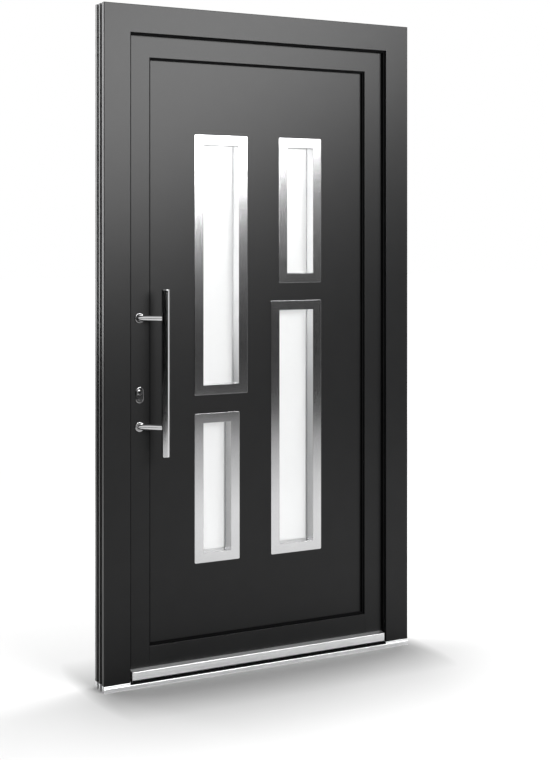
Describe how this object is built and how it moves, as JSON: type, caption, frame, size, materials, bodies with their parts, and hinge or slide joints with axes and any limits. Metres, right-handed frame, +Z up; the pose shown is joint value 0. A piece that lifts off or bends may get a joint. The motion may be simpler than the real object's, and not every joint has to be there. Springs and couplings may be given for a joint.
{
  "type": "front door with frame",
  "caption": "Anthracite aluminium front door in its frame, with a round pull bar, steel-trimmed windows of white glass, a weather bar and a low threshold.",
  "frame": {"origin": "middle of the threshold's underside, at the frame's mid depth", "axes": "+Z up, -Y towards the outside, +X towards the hinge side"},
  "size_m": [1.1, 0.21, 2.1],
  "materials": {
    "coated_aluminium": "fine-textured matt powder coat, anthracite grey",
    "mill_aluminium": "natural anodised, satin",
    "brushed_steel": "brushed stainless steel",
    "satin_steel": "satin stainless steel",
    "black_rubber": "black EPDM seal",
    "black_polyamide": "black insulating strip",
    "insulation": "insulating foam core",
    "satin_glass": "satin white, etched"
  },
  "bodies": {
    "frame": {"left_jamb_outer_shell": "coated_aluminium", "right_jamb_outer_shell": "coated_aluminium", "head_outer_shell": "coated_aluminium", "left_jamb_inner_shell": "coated_aluminium", "right_jamb_inner_shell": "coated_aluminium", "head_inner_shell": "coated_aluminium", "frame_thermal_breaks": "black_polyamide", "frame_centre_ribs": "coated_aluminium", "threshold_outer_rail": "mill_aluminium", "threshold_thermal_break": "black_polyamide", "threshold_end_ribs": "mill_aluminium", "threshold_inner_rail": "mill_aluminium", "frame_stop_seal": "black_rubber", "strike_plates": "satin_steel", "hinge_frame_halves": "coated_aluminium"},
    "leaf": {"left_stile_outer_shell": "coated_aluminium", "right_stile_outer_shell": "coated_aluminium", "top_rail_outer_shell": "coated_aluminium", "bottom_rail_outer_shell": "coated_aluminium", "left_stile_inner_shell": "coated_aluminium", "right_stile_inner_shell": "coated_aluminium", "top_rail_inner_shell": "coated_aluminium", "bottom_rail_inner_shell": "coated_aluminium", "leaf_thermal_breaks": "black_polyamide", "leaf_seals": "black_rubber", "infill_outer_skin": "coated_aluminium", "infill_core": "insulation", "infill_inner_skin": "coated_aluminium", "glazing_seal": "black_rubber", "glazing_beads": "coated_aluminium", "window_trim_left_lower": "brushed_steel", "window_trim_left_upper": "brushed_steel", "window_trim_right_lower": "brushed_steel", "window_trim_right_upper": "brushed_steel", "inner_window_trims": "brushed_steel", "glass_left_lower": "satin_glass", "glass_left_upper": "satin_glass", "glass_right_lower": "satin_glass", "glass_right_upper": "satin_glass", "weather_bar": "mill_aluminium", "pull_bar": "satin_steel", "pull_bar_supports": "satin_steel", "lock_cylinder": "satin_steel", "lock_rose": "satin_steel", "lock_faceplate": "satin_steel", "inside_handle_plate": "satin_steel", "inside_lever": "satin_steel", "hinge_leaf_halves": "coated_aluminium"}
  },
  "joints": [
    {"name": "leaf_swing", "type": "hinge", "parent": "frame", "child": "leaf", "pos_m": [0.508, 0.0695, 1.045], "axis": [0, 0, -1], "range_deg": [0, 100]}
  ]
}
